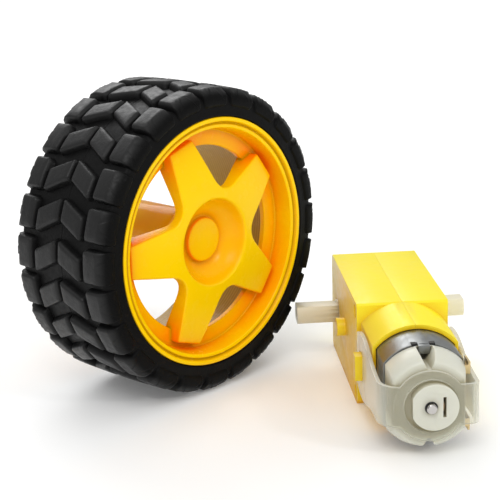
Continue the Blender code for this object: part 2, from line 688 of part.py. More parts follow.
def make_terminals(tab_look, brush_look, parent):
    """Each brass terminal is a strip from the commutator out through the cap, with an eyelet tab."""
    strips = above_and_below(4.6, 6.2)
    tabs = above_and_below(4.5, 6.9)
    risers = above_and_below(3.35, 5.2)
    arms = above_and_below(3.35, 3.6)
    brushes = above_and_below(2.55, BRUSH_REACH)
    eyelets = (AXIS_Z + 5.7, AXIS_Z - 5.7)
    for number, name in enumerate(("upper", "lower")):
        strip = box((5.4, STRIP_REAR, strips[number][0]), (8.4, STRIP_FRONT, strips[number][1]))
        tab = box((8.0, STRIP_REAR, tabs[number][0]), (8.4, -22.0, tabs[number][1]))
        riser = box((5.4, STRIP_REAR, risers[number][0]), (5.7, STRIP_FRONT, risers[number][1]))
        arm = box((-1.0, STRIP_REAR, arms[number][0]), (5.7, -23.7, arms[number][1]))
        join(strip, tab, riser, arm)
        cut(strip, rod("X", 0.6, 7, 9, (-23.6, eyelets[number]), FINE))
        name_piece(strip, f"terminal_{name}", tab_look, parent)
        brush = box((-0.9, -25.6, brushes[number][0]), (0.9, -23.8, brushes[number][1]))
        name_piece(brush, f"brush_{name}", brush_look, parent)


def make_strap(look, parent):
    """A clear strap: ring over the boss, rounded bends, and an arm along each flat to the lugs."""
    inner, outer = STRAP_INNER, STRAP_OUTER
    thickness = outer - inner
    bend, inner_bend = STRAP_BEND, STRAP_BEND - thickness
    bend_y = STRAP_REAR + bend
    section = [(-outer, STRAP_FRONT), *arc(bend, 180, 270, 5, (-outer + bend, bend_y)),
               *arc(bend, 270, 360, 5, (outer - bend, bend_y)), (outer, STRAP_FRONT), (inner, STRAP_FRONT),
               *arc(inner_bend, 0, -90, 5, (inner - inner_bend, bend_y)),
               *arc(inner_bend, 270, 180, 5, (-inner + inner_bend, bend_y)), (-inner, STRAP_FRONT)]
    strap = prism("Z", section, 0, BOX_HEIGHT)
    arm = [(STRAP_FRONT + PAST, 5.2), (-4.5, 6.6), (-10.5, 6.4), (-16, 4.9), (-22, 4.2),
           (STRAP_REAR - PAST, 4.0)]
    side = [(y, AXIS_Z + h) for y, h in arm] + [(y, AXIS_Z - h) for y, h in reversed(arm)]
    keep(strap, prism("X", side, -outer - PAST, outer + PAST))
    join(strap, rod("Y", RING_RADIUS, STRAP_REAR, STRAP_REAR + thickness, (0, AXIS_Z), LARGE))
    along, rise = LUG_HALF_LENGTH + GAP, LUG_HALF_HEIGHT + GAP
    window = rectangle((LUG_MIDDLE_Y - along, AXIS_Z - rise), (LUG_MIDDLE_Y + along, AXIS_Z + rise))
    hole_end = STRAP_REAR + thickness + PAST
    ring_hole = rod("Y", RING_HOLE_RADIUS, STRAP_REAR - PAST, hole_end, (0.2, AXIS_Z), LARGE)
    cut(strap, prism("X", window, -outer - PAST, outer + PAST), ring_hole)
    name_piece(strap, "motor_strap", look, parent)


def core_outline():
    """A hub with an arm and a wide shoe for each pole."""
    points = []
    for pole in range(POLES):
        middle = 90 + 360 / POLES * pole
        turn = Matrix.Rotation(radians(middle), 2)
        first, last = middle - POLE_HALF_ANGLE, middle + POLE_HALF_ANGLE
        arm = [(CORE_HUB_RADIUS, -POLE_HALF_WIDTH), (POLE_SHOE_RADIUS - SINK, -POLE_HALF_WIDTH)]
        points += [tuple(turn @ Vector(p)) for p in arm]
        points += arc(POLE_SHOE_RADIUS, first, first + 1, 1) + arc(ROTOR_RADIUS, first, last, 10)
        points += arc(POLE_SHOE_RADIUS, last - 1, last, 1)[::-1]
        points += [tuple(turn @ Vector((p, -q))) for p, q in reversed(arm)]
    return points


def make_rotor(looks, parent):
    """Everything that spins with the motor shaft."""
    origin = (0, 0, AXIS_Z)
    centre = (0, AXIS_Z)
    bevel = 0.2
    shaft = lathe("Y", [(MOTOR_SHAFT_REAR, 0), (MOTOR_SHAFT_REAR, MOTOR_SHAFT_RADIUS - bevel),
                        (MOTOR_SHAFT_REAR + bevel, MOTOR_SHAFT_RADIUS),
                        (MOTOR_SHAFT_FRONT, MOTOR_SHAFT_RADIUS), (MOTOR_SHAFT_FRONT, 0)], ROUND, centre)
    name_piece(shaft, "motor_shaft", looks["steel"], parent, origin)

    bore = circle(MOTOR_SHAFT_RADIUS + BUSH_ROOM, centre, FINE)
    outline = gear_outline(MOTOR_TEETH, CROWN_MODULE, TOOTH_SHIFT, 180)
    pinion = prism("Y", [(p, q + AXIS_Z) for p, q in outline], 3.0, MOTOR_SHAFT_FRONT - SINK, [bore])
    name_piece(pinion, "motor_pinion", looks["brass"], parent, origin)

    core = prism("Y", [(p, q + AXIS_Z) for p, q in core_outline()], ROTOR_REAR, ROTOR_FRONT, [bore])
    name_piece(core, "armature_core", looks["iron"], parent, origin)

    overhang = 0.9
    for number in range(POLES):
        turn = Matrix.Rotation(radians(360 / POLES * number), 4, "Y")
        coil = box((-2.5, ROTOR_REAR - overhang, 2.9), (2.5, ROTOR_FRONT + overhang, 4.4))
        arm = POLE_HALF_WIDTH + SINK
        cut(coil, box((-arm, ROTOR_REAR - SINK, 2), (arm, ROTOR_FRONT + SINK, 6)))
        coil.data.transform(Matrix.Translation((0, 0, AXIS_Z * MM)) @ turn)
        name_piece(coil, f"winding_{number + 1}", looks["copper"], parent, origin)

    inner, outer = SEGMENT_RADII
    sleeve_bore, sleeve = MOTOR_SHAFT_RADIUS + BUSH_ROOM, inner - SINK
    rear, front = -26.2, -20.0
    tube = [(rear, sleeve_bore), (rear, sleeve), (front, sleeve), (front, sleeve_bore)]
    resin = lathe("Y", tube, FINE, centre)
    name_piece(resin, "commutator_sleeve", looks["resin"], parent, origin)
    for number in range(POLES):
        middle = 30 + 360 / POLES * number
        first, last = middle - SEGMENT_HALF_ANGLE, middle + SEGMENT_HALF_ANGLE
        outline = arc(outer, first, last, 8, centre) + arc(inner, last, first, 8, centre)
        name_piece(prism("Y", outline, -26.0, -20.6), f"commutator_segment_{number + 1}",
                   looks["copper"], parent, origin)


# The whole set ----------------------------------------------------------------------------------------


def main():
    for leftover in list(bpy.data.objects):
        bpy.data.objects.remove(leftover)

    looks = {
        "rubber": material("black_rubber", (0.018, 0.018, 0.02), 0.62),
        "rim": material("yellow_rim_plastic", (0.95, 0.56, 0.0), 0.34),
        "case": material("lemon_case_plastic", (0.95, 0.78, 0.03), 0.42),
        "nylon": material("natural_nylon", (0.82, 0.78, 0.68), 0.45),
        "white": material("white_acetal", (0.85, 0.85, 0.8), 0.4),
        "strap": material("milky_strap", (0.78, 0.76, 0.66), 0.3),
        "zinc": material("zinc_plated_steel", (0.56, 0.57, 0.6), 0.32, 1.0),
        "steel": material("ground_steel", (0.62, 0.6, 0.58), 0.22, 1.0),
        "brass": material("brass", (0.8, 0.6, 0.25), 0.3, 1.0),
        "bronze": material("sintered_bronze", (0.45, 0.3, 0.16), 0.55, 0.9),
        "ferrite": material("ferrite", (0.06, 0.06, 0.065), 0.7),
        "iron": material("laminated_iron", (0.28, 0.28, 0.29), 0.45, 0.9),
        "copper": material("enamelled_copper", (0.62, 0.24, 0.09), 0.35, 0.9),
        "resin": material("brown_resin", (0.16, 0.07, 0.03), 0.5),
        "carbon": material("carbon", (0.03, 0.03, 0.03), 0.6),
    }

    wheel = frame_at("wheel_frame", (*WHEEL_AT, TYRE_RADIUS))
    motor_at = (WHEEL_AT[0] + MOTOR_FROM_WHEEL[0], WHEEL_AT[1] + MOTOR_FROM_WHEEL[1], 0.0)
    motor = frame_at("motor_frame", motor_at, MOTOR_YAW)

    make_tyre(looks["rubber"], wheel)
    make_rim(looks["rim"], wheel)
    for side in (-1, 1):
        make_shell(side, looks["case"], motor)
    make_case_screws(looks["zinc"], motor)
    make_pins(looks["steel"], motor)
    make_output(looks["nylon"], looks["nylon"], motor)
    make_middle_gear(looks["white"], motor)
    make_crown_gear(looks["white"], motor)
    make_can(looks["zinc"], motor)
    make_end_cap(looks["white"], motor)
    make_bushes(looks["bronze"], motor)
    make_magnets(looks["ferrite"], looks["steel"], motor)
    make_terminals(looks["brass"], looks["carbon"], motor)
    make_strap(looks["strap"], motor)
    make_rotor(looks, motor)


main()
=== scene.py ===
"""Looks of the robot car drive set: a treaded wheel with an open-spoked rim, and a right-angle gear motor.

Sizes are in millimetres in the wheel's or the motor's own frame, and MM turns them into metres.
The wheel's frame has the axle along Y with the rim's face towards -Y. The motor's frame has the output
shaft along X, the gearbox towards +Y and the motor end towards -Y, with the floor at Z = 0.
"""

import json
from math import asin, cos, degrees, pi, radians, sin, sqrt

import bmesh
import bpy
from mathutils import Matrix, Vector


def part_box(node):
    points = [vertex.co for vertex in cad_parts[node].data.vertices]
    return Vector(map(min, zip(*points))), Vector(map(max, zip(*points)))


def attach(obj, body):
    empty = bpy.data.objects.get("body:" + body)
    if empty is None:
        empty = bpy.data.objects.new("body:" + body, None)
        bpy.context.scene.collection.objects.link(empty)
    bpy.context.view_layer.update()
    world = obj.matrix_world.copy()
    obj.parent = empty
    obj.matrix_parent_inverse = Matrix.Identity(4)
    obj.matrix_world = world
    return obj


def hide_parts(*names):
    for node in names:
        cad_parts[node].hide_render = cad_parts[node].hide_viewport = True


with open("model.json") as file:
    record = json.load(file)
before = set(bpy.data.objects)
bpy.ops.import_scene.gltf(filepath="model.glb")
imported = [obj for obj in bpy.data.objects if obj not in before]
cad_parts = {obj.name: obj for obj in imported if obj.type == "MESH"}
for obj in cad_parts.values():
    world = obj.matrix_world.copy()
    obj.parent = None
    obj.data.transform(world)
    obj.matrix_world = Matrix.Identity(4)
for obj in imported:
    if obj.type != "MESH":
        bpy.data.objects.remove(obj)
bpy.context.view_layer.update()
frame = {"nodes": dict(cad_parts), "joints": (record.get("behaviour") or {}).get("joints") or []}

MM = 0.001
PAST = 1.0

# Gear motor. SEAM is how near the parting plane a corner counts as on it, SEAM_LEFT the share of its
# distance that is left there, and SEAM_ROUNDING the share of the rounding.
BOX_HEIGHT = 22.0
AXIS_Z = BOX_HEIGHT / 2
SEAM = 0.16
SEAM_LEFT = 0.1
SEAM_ROUNDING = 0.12
CAP_FRONT = -22.8
CAP_REAR = -28.6
BOSS_REAR = -30.6

# Wheel.
TREAD_MIDDLE = 31.12
CROWN_CURVE = 0.0035
CROWN_HALF = 11.8
SHOULDER_RADIUS = 1.3
SHOULDER_TURN = 84
SIDE_LEVEL = 13.5
CHAMFER_START = (12.1, 32.5)
CHAMFER_SLOPE = 1.286
CURVE_STEP = 0.1
BLOCK_HEIGHT = 1.58
BLOCK_MIDDLE_RADIUS = 32.0
FADE_START = 12.4
FADE_LENGTH = 2.6
FADE_DEPTH = 0.9
PITCHES = 24
BEAD_RADIUS = 26.55
RIM_BACK = -13.2
SPOKES = 5
FIRST_SPOKE = 36
SPOKE_END = (22.2, 3.45)
CROTCH_REACH = 10.0045
STAR_BACK = (10.6, 5.4)
STAR_BACK_REACH = (11.4, 23.2)
STAR_TOP = 13.0
STAR_EDGE = 11.0
DOME_CURVE = 1.25
BOWL_RADIUS = 9.5
PLUG_LEVEL = 9.7
DISH_LEVEL = 7.0
HUB_RADIUS = 5.6


# Frames ----------------------------------------------------------------------------------------------


def wheel_frame():
    low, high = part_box("tyre")
    return Matrix.Translation((low + high) / 2)


def motor_frame():
    """Read from the joints: the output shaft gives X, the rotor gives Y and the origin."""
    joints = {joint["name"]: joint for joint in frame["joints"]}
    across = Vector(joints["output_spin"]["axis"])
    along = Vector(joints["rotor_spin"]["axis"])
    turn = Matrix((across, along, Vector((0, 0, 1)))).transposed().to_4x4()
    origin = Vector(joints["rotor_spin"]["pos_m"]) - Vector((0, 0, AXIS_Z * MM))
    return Matrix.Translation(origin) @ turn


WHEEL = wheel_frame()
MOTOR = motor_frame()


# Outlines --------------------------------------------------------------------------------------------


def arc(radius, start, end, steps, centre=(0.0, 0.0)):
    angles = [radians(start + (end - start) * k / steps) for k in range(steps + 1)]
    return [(centre[0] + radius * cos(a), centre[1] + radius * sin(a)) for a in angles]


def circle(radius, steps, centre=(0.0, 0.0)):
    return arc(radius, 0, 360, steps, centre)[:-1]


def rounded(corners, steps=6):
    """A closed outline of (p, q, radius) corners with each corner turned into an arc."""
    points = []
    count = len(corners)
    for k, (p, q, radius) in enumerate(corners):
        here = Vector((p, q))
        back = Vector(corners[k - 1][:2]) - here
        ahead = Vector(corners[(k + 1) % count][:2]) - here
        half = back.angle(ahead) / 2
        if radius <= 0 or half > radians(88):
            points.append((p, q))
            continue
        reach = min(radius / (sin(half) / cos(half)), 0.49 * back.length, 0.49 * ahead.length)
        start = here + back.normalized() * reach
        end = here + ahead.normalized() * reach
        for step in range(steps + 1):
            t = step / steps
            points.append(tuple(start * (1 - t) ** 2 + here * 2 * t * (1 - t) + end * t ** 2))
    return points


def resampled(outline, count):
    """The closed outline as count evenly spaced points."""
    loop = [Vector(p) for p in outline]
    loop.append(loop[0])
    lengths = [0.0]
    for one, two in zip(loop, loop[1:]):
        lengths.append(lengths[-1] + (two - one).length)
    points = []
    k = 0
    for number in range(count):
        target = lengths[-1] * number / count
        while lengths[k + 1] < target:
            k += 1
        t = (target - lengths[k]) / max(lengths[k + 1] - lengths[k], 1e-9)
        points.append(tuple(loop[k].lerp(loop[k + 1], t)))
    return points


def inset(outline, distance):
    """Moves each point of an anticlockwise outline inwards, square to its neighbours."""
    points = []
    count = len(outline)
    for k, here in enumerate(outline):
        run = Vector(outline[(k + 1) % count]) - Vector(outline[k - 1])
        side = Vector((-run.y, run.x)).normalized()
        points.append((here[0] + side.x * distance, here[1] + side.y * distance))
    return points


def smooth_curve(knots, steps=8):
    """A Catmull-Rom curve through knots of two coordinates."""
    ends = [knots[0], *knots, knots[-1]]
    points = []
    for a, b, c, d in zip(ends, ends[1:], ends[2:], ends[3:]):
        for step in range(steps):
            t = step / steps
            points.append(tuple(0.5 * (2 * b[i] + (c[i] - a[i]) * t
                                       + (2 * a[i] - 5 * b[i] + 4 * c[i] - d[i]) * t ** 2
                                       + (3 * b[i] - a[i] - 3 * c[i] + d[i]) * t ** 3) for i in (0, 1)))
    points.append(tuple(knots[-1]))
    return points


# Solids ----------------------------------------------------------------------------------------------


class Surface:
    """Corners and faces of a mesh, in millimetres, gathered ring by ring."""

    def __init__(self):
        self.corners = []
        self.faces = []

    def ring(self, points):
        start = len(self.corners)
        self.corners += points
        return list(range(start, start + len(points)))

    def skin(self, rings):
        """Joins closed rings of equal length, or a ring to a single point."""
        rings = [self.ring(points) for points in rings]
        for one, two in zip(rings, rings[1:]):
            count = max(len(one), len(two))
            for k in range(count):
                after = k + 1
                face = [one[k % len(one)], one[after % len(one)], two[after % len(two)], two[k % len(two)]]
                if len(set(face)) > 2:
                    self.faces.append(list(dict.fromkeys(face)))

    def solid(self):
        shape = bmesh.new()
        corners = [shape.verts.new(Vector(p) * MM) for p in self.corners]
        for face in self.faces:
            shape.faces.new([corners[c] for c in face])
        return from_bmesh(shape)


def from_bmesh(shape, fix=True):
    if fix:
        bmesh.ops.recalc_face_normals(shape, faces=shape.faces)
    mesh = bpy.data.meshes.new("piece")
    shape.to_mesh(mesh)
    shape.free()
    made = bpy.data.objects.new("piece", mesh)
    bpy.context.scene.collection.objects.link(made)
    return made


def put(axis, p, q, along):
    return {"X": (along, p, q), "Y": (p, along, q), "Z": (p, q, along)}[axis]


def prism(axis, outline, low, high):
    shape = bmesh.new()
    ends = []
    for level in (low, high):
        ends.append([shape.verts.new(Vector(put(axis, p, q, level)) * MM) for p, q in outline])
    for end in ends:
        shape.faces.new(end)
    count = len(outline)
    for k in range(count):
        after = (k + 1) % count
        shape.faces.new((ends[0][k], ends[0][after], ends[1][after], ends[1][k]))
    return from_bmesh(shape)


def lathe(axis, profile, segments=96, centre=(0.0, 0.0)):
    """A closed profile of (along, radius) turned about an axis; radius 0 makes a pole."""
    surface = Surface()
    rings = []
    for along, radius in [*profile, profile[0]]:
        count = segments if radius > 0 else 1
        turns = [2 * pi * k / count for k in range(count)]
        rings.append([put(axis, centre[0] + radius * cos(turn), centre[1] + radius * sin(turn), along)
                      for turn in turns])
    surface.skin(rings)
    made = surface.solid()
    weld(made)
    return made


def weld(solid, near=1e-7):
    """Joins corners that lie in one place, within a distance in metres."""
    shape = bmesh.new()
    shape.from_mesh(solid.data)
    bmesh.ops.remove_doubles(shape, verts=shape.verts, dist=near)
    bmesh.ops.dissolve_degenerate(shape, edges=shape.edges, dist=near)
    bmesh.ops.recalc_face_normals(shape, faces=shape.faces)
    shape.to_mesh(solid.data)
    shape.free()


def box(low, high):
    outline = [(low[0], low[1]), (high[0], low[1]), (high[0], high[1]), (low[0], high[1])]
    return prism("Z", outline, low[2], high[2])


def bake(target):
    """Turns the modifiers of a solid into its mesh."""
    bpy.context.view_layer.update()
    graph = bpy.context.evaluated_depsgraph_get()
    result = bpy.data.meshes.new_from_object(target.evaluated_get(graph))
    target.modifiers.clear()
    target.data = result
    return target


def combine(target, operation, *others):
    """Joins the others to the target, or cuts them from it, and removes them."""
    for other in others:
        step = target.modifiers.new(operation, "BOOLEAN")
        step.operation = operation
        step.object = other
        step.solver = "EXACT"
    bake(target)
    for other in others:
        bpy.data.objects.remove(other)
    return target


def merged(first, *others):
    """One object that holds the meshes of several."""
    shape = bmesh.new()
    for solid in (first, *others):
        shape.from_mesh(solid.data)
    shape.to_mesh(first.data)
    shape.free()
    for solid in others:
        bpy.data.objects.remove(solid)
    return first


def softened(solid, width, steps=2, share=None):
    """Rounds the sharp edges of a solid; share gives an edge's part of the width from its two ends."""
    sharp = radians(40)
    shape = bmesh.new()
    shape.from_mesh(solid.data)
    weights = shape.edges.layers.float.new("bevel_weight_edge")
    for edge in shape.edges:
        if len(edge.link_faces) == 2 and edge.calc_face_angle(0.0) > sharp:
            edge[weights] = share(edge.verts[0].co, edge.verts[1].co) if share else 1.0
    shape.to_mesh(solid.data)
    shape.free()
    step = solid.modifiers.new("edges", "BEVEL")
    step.width = width * MM
    step.segments = steps
    step.limit_method = "WEIGHT"
    step.use_clamp_overlap = True
    return bake(solid)


def show(solid, name, look, body, nodes, place, sharp=35):
    """Names a finished piece, moves it into the row's frame and lets it ride on its body."""
    solid.data.transform(place)
    solid.name = name
    solid.data.name = name
    solid.data.materials.clear()
    solid.data.materials.append(look)
    solid.data.shade_smooth()
    solid.data.set_sharp_from_angle(angle=radians(sharp))
    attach(solid, body)
    if nodes:
        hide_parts(*nodes)


def refined(node, look, body, width, share=None):
    """The CAD solid with its flat faces joined, its edges rounded and the case's parting gap closed."""
    shape = bmesh.new()
    shape.from_mesh(frame["nodes"][node].data)
    bmesh.ops.remove_doubles(shape, verts=shape.verts, dist=1e-6)
    if share:
        for corner in shape.verts:
            place = MOTOR.inverted() @ corner.co
            if abs(place.x) < SEAM * MM:
                place.x *= SEAM_LEFT
                corner.co = MOTOR @ place
    bmesh.ops.dissolve_limit(shape, angle_limit=radians(1), verts=shape.verts, edges=shape.edges)
    solid = from_bmesh(shape, fix=False)
    softened(solid, width, share=share)
    show(solid, node + "_finished", look, body, [node], Matrix())


def seam_share(one, two):
    """Edges on the parting plane keep almost sharp, so that the seam stays a fine line."""
    on_seam = all(abs((MOTOR.inverted() @ end).x) < SEAM * MM for end in (one, two))
    return SEAM_ROUNDING if on_seam else 1.0


# Materials -------------------------------------------------------------------------------------------


class Look:
    """A node material built step by step on one Principled shader."""

    def __init__(self, name, colour, roughness, metallic=0.0, specular=0.5):
        self.material = bpy.data.materials.new(name)
        self.material.use_nodes = True
        self.tree = self.material.node_tree
        self.shader = self.tree.nodes["Principled BSDF"]
        self.set("Base Color", (*colour, 1.0))
        self.set("Roughness", roughness)
        self.set("Metallic", metallic)
        self.set("Specular IOR Level", specular)
        self.material.diffuse_color = (*colour, 1.0)

    def set(self, socket, value):
        self.shader.inputs[socket].default_value = value

    def node(self, kind, **values):
        made = self.tree.nodes.new(kind)
        for socket, value in values.items():
            name = socket.replace("_", " ")
            made.inputs[name].default_value = value
        return made

    def link(self, source, target):
        self.tree.links.new(source, target)

    def coordinates(self):
        return self.tree.nodes.new("ShaderNodeTexCoord").outputs["Object"]

    def maths(self, operation, *values):
        """A Math node on sockets or numbers."""
        step = self.tree.nodes.new("ShaderNodeMath")
        step.operation = operation
        for socket, value in zip(step.inputs, values):
            if isinstance(value, bpy.types.NodeSocket):
                self.link(value, socket)
            else:
                socket.default_value = value
        return step.outputs["Value"]

    def from_wheel(self):
        """Distances from the wheel's centre: along the axle, towards +Y, and out from it."""
        split = self.tree.nodes.new("ShaderNodeSeparateXYZ")
        self.link(self.coordinates(), split.inputs["Vector"])
        centre = WHEEL.translation
        x = self.maths("SUBTRACT", split.outputs["X"], centre.x)
        z = self.maths("SUBTRACT", split.outputs["Z"], centre.z)
        square = self.maths("ADD", self.maths("MULTIPLY", x, x), self.maths("MULTIPLY", z, z))
        out = self.maths("SQRT", square)
        return self.maths("SUBTRACT", split.outputs["Y"], centre.y), out

    def openness(self, distance, low, high):
        """0 where neighbouring walls are close and 1 in the open."""
        near = self.node("ShaderNodeAmbientOcclusion", Distance=distance * MM)
        near.samples = 6
        return self.ramp(near.outputs["AO"], low, high, 0.0, 1.0)

    def noise(self, scale, detail=2.0, roughness=0.5, stretch=None):
        texture = self.node("ShaderNodeTexNoise", Scale=scale, Detail=detail, Roughness=roughness)
        source = self.coordinates()
        if stretch:
            mapping = self.tree.nodes.new("ShaderNodeMapping")
            mapping.inputs["Scale"].default_value = stretch
            self.link(source, mapping.inputs["Vector"])
            source = mapping.outputs["Vector"]
        self.link(source, texture.inputs["Vector"])
        return texture.outputs["Fac"]

    def ramp(self, source, low, high, first, last):
        step = self.node("ShaderNodeMapRange", From_Min=low, From_Max=high, To_Min=first, To_Max=last)
        self.link(source, step.inputs["Value"])
        return step.outputs["Result"]

    def mix(self, factor, first, second):
        """A colour mix; each of the two is a colour or a socket."""
        step = self.tree.nodes.new("ShaderNodeMix")
        step.data_type = "RGBA"
        for name, value in (("Factor", factor), ("A", first), ("B", second)):
            sockets = [s for s in step.inputs if s.name == name and s.enabled]
            if isinstance(value, bpy.types.NodeSocket):
                self.link(value, sockets[0])
            else:
                sockets[0].default_value = value if name == "Factor" else (*value, 1.0)
        return [s for s in step.outputs if s.enabled][0]

    def colour(self, socket):
        self.link(socket, self.shader.inputs["Base Color"])

    def rough(self, source, low, high, first, last):
        self.link(self.ramp(source, low, high, first, last), self.shader.inputs["Roughness"])

    def bump(self, *layers):
        """Layers of (height socket, distance in millimetres)."""
        normal = None
        for height, distance in layers:
            step = self.node("ShaderNodeBump", Strength=1.0, Distance=distance * MM)
            self.link(height, step.inputs["Height"])
            if normal:
                self.link(normal, step.inputs["Normal"])
            normal = step.outputs["Normal"]
        self.link(normal, self.shader.inputs["Normal"])

    def recess_shade(self, open_colour, shade_colour, distance, low=0.35, high=0.95):
        """Painted shade: turns towards the shade colour where neighbouring walls are close."""
        return self.mix(self.openness(distance, low, high), shade_colour, open_colour)


def rubber_look():
    """Black rubber: dull on the side walls and in the grooves, with more sheen on the tread's blocks; painted
    shade makes the colour nearly black in the grooves.
    """
    look = Look("tyre_rubber", (0.01, 0.01, 0.01), 0.6, specular=0.3)
    along, out = look.from_wheel()
    cloud = look.mix(look.noise(140, 3), (0.006, 0.006, 0.0055), (0.013, 0.013, 0.0135))
    # Painted shade: the colour runs to nearly black down in the grooves.
    look.colour(look.mix(look.ramp(out, 31.0 * MM, 32.2 * MM, 0.0, 1.0), (0.004, 0.004, 0.004), cloud))
    sheen = look.ramp(out, 31.1 * MM, 32.6 * MM, 0.1, 0.3)
    side = look.ramp(look.maths("ABSOLUTE", along), 12.6 * MM, 13.6 * MM, 1.0, 0.5)
    look.link(look.maths("MULTIPLY", sheen, side), look.shader.inputs["Specular IOR Level"])
    look.rough(look.noise(900, 2), 0.3, 0.7, 0.34, 0.5)
    look.bump((look.noise(2600, 2, 0.6), 0.05), (look.noise(420, 2), 0.08))
    return look.material


def yellow_look():
    """Glossy golden yellow, with painted shade: deeper orange in the hollows, a dark line in the narrowest
    grooves, and browner with fine lines inside the barrel.
    """
    look = Look("rim_yellow", (1.0, 0.6, 0.0), 0.3, specular=0.14)
    # Painted shade: deep orange where neighbouring walls are close.
    base = look.recess_shade((1.0, 0.65, 0.0), (1.0, 0.22, 0.0), 9.0, 0.38, 0.98)
    # Painted shade: a dark line where walls are very close, as in the lip's groove.
    base = look.mix(look.openness(1.1, 0.5, 0.95), (0.6, 0.36, 0.0), base)
    base = look.mix(look.ramp(look.noise(60, 2), 0.35, 0.65, 0.0, 0.12), base, (0.98, 0.5, 0.0))
    along, out = look.from_wheel()
    # Painted shade: inside the barrel the yellow turns brown, striped with fine lines.
    line_rate = 9000.0
    lines = look.ramp(look.maths("SINE", look.maths("MULTIPLY", along, line_rate)), -1.0, 1.0, 0.0, 1.0)
    barrel_shade = look.mix(lines, (0.30, 0.19, 0.03), (0.42, 0.28, 0.05))
    barrel = look.maths("MULTIPLY", look.ramp(out, 23.7 * MM, 24.5 * MM, 0.0, 1.0),
                        look.ramp(along, -6.8 * MM, -5.4 * MM, 0.0, 1.0))
    look.colour(look.mix(look.maths("MULTIPLY", barrel, 0.9), base, barrel_shade))
    look.rough(look.noise(500, 3), 0.3, 0.7, 0.2, 0.3)
    look.bump((look.noise(300, 2), 0.012))
    return look.material


def hub_shaded_look():
    """The same yellow where light comes through the spokes, painted as a shaded copy: a clear orange of
    painted shade, with a strong gloss.
    """
    # Painted shade: the rim's yellow given as a deeper orange.
    look = Look("hub_shaded_yellow", (1.0, 0.45, 0.0), 0.16, specular=0.12)
    cloud = look.ramp(look.noise(160, 2), 0.3, 0.7, 0.0, 1.0)
    look.colour(look.mix(cloud, (1.0, 0.42, 0.0), (1.0, 0.52, 0.0)))
    look.rough(look.noise(500, 3), 0.3, 0.7, 0.12, 0.24)
    return look.material


def lemon_look():
    """Satin lemon yellow, with painted shade in the hollows and painted light on the left side face: shade in
    deep orange low down, a cream reflection higher up.
    """
    look = Look("gearbox_lemon", (0.95, 0.74, 0.02), 0.35, specular=0.3)
    # Painted shade: deep orange where neighbouring walls are close.
    base = look.recess_shade((0.96, 0.82, 0.02), (0.8, 0.42, 0.0), 4.0)
    base = look.mix(look.ramp(look.noise(80, 2), 0.35, 0.65, 0.0, 0.15), base, (0.95, 0.72, 0.015))
    # Painted light on the left side face: painted shade in deep orange near the floor, fading into a painted
    # cream reflection towards the top.
    facing = look.tree.nodes.new("ShaderNodeVectorMath")
    facing.operation = "DOT_PRODUCT"
    look.link(look.tree.nodes.new("ShaderNodeNewGeometry").outputs["Normal"], facing.inputs[0])
    facing.inputs[1].default_value = -MOTOR.col[0].to_3d()
    side = look.ramp(facing.outputs["Value"], 0.3, 1.0, 0.0, 0.75)
    split = look.tree.nodes.new("ShaderNodeSeparateXYZ")
    look.link(look.coordinates(), split.inputs["Vector"])
    height = look.maths("ADD", split.outputs["Z"], look.maths("MULTIPLY", look.noise(120, 2), 2.5 * MM))
    # deep holds painted light: orange shade low on the side face, cream reflection high on it.
    deep = look.mix(look.ramp(height, 10 * MM, 23 * MM, 0.0, 0.8), (0.66, 0.35, 0.0), (0.80, 0.62, 0.19))
    look.colour(look.mix(side, base, deep))
    look.rough(look.noise(700, 3), 0.3, 0.7, 0.3, 0.44)
    look.bump((look.noise(1500, 2), 0.012))
    return look.material


def milky_look(name, colour, depth=1.5):
    """Natural plastic that light enters to a depth in millimetres, with painted shade that turns it browner
    in the hollows.
    """
    roughness = 0.35
    look = Look(name, colour, roughness, specular=0.4)
    look.set("Subsurface Weight", 0.35)
    look.set("Subsurface Radius", (1.0, 0.95, 0.75))
    look.set("Subsurface Scale", depth * MM)
    # Painted shade: a browner, darker copy of the colour for the hollows.
    deep = tuple(c * f for c, f in zip(colour, (0.6, 0.54, 0.42)))
    look.colour(look.recess_shade(colour, deep, 2.5))
    look.rough(look.noise(600, 2), 0.3, 0.7, roughness - 0.06, roughness + 0.08)
    look.bump((look.noise(350, 2), 0.015))
    return look.material


def strap_look():
    """Milky clear sheet: part of the light goes straight through, less where the sheet is seen edge on."""
    look = Look("strap_clear", (0.82, 0.82, 0.74), 0.16, specular=0.6)
    look.bump((look.noise(220, 2), 0.03))
    clear = look.node("ShaderNodeBsdfTransparent", Color=(0.93, 0.93, 0.88, 1.0))
    facing = look.node("ShaderNodeLayerWeight", Blend=0.35)
    amount = look.ramp(facing.outputs["Facing"], 0.0, 1.0, 0.12, 0.9)
    blend = look.tree.nodes.new("ShaderNodeMixShader")
    look.link(amount, blend.inputs["Fac"])
    look.link(clear.outputs["BSDF"], blend.inputs[1])
    look.link(look.shader.outputs["BSDF"], blend.inputs[2])
    look.link(blend.outputs["Shader"], look.tree.nodes["Material Output"].inputs["Surface"])
    return look.material


def metal_look(name, colour, roughness, scale=700, stretch=(1, 1, 0.06), relief=0.006):
    """Bare metal with a fine grain that is drawn out along an axis."""
    look = Look(name, colour, roughness, metallic=1.0)
    grain = look.noise(scale, 3, 0.6, stretch)
    dark = tuple(c * 0.82 for c in colour)
    look.colour(look.mix(look.ramp(grain, 0.3, 0.7, 0.0, 1.0), dark, colour))
    look.rough(grain, 0.3, 0.7, roughness * 0.8, roughness * 1.3)
    look.bump((grain, relief))
    return look.material


def plain_look(name, colour, roughness, metallic=0.0):
    """An even material with a fine grain."""
    look = Look(name, colour, roughness, metallic)
    grain = look.noise(900, 3, 0.6)
    dark = tuple(c * 0.75 for c in colour)
    look.colour(look.mix(look.ramp(grain, 0.3, 0.7, 0.0, 1.0), dark, colour))
    look.rough(grain, 0.3, 0.7, roughness * 0.85, roughness * 1.15)
    look.bump((grain, 0.02))
    return look.material


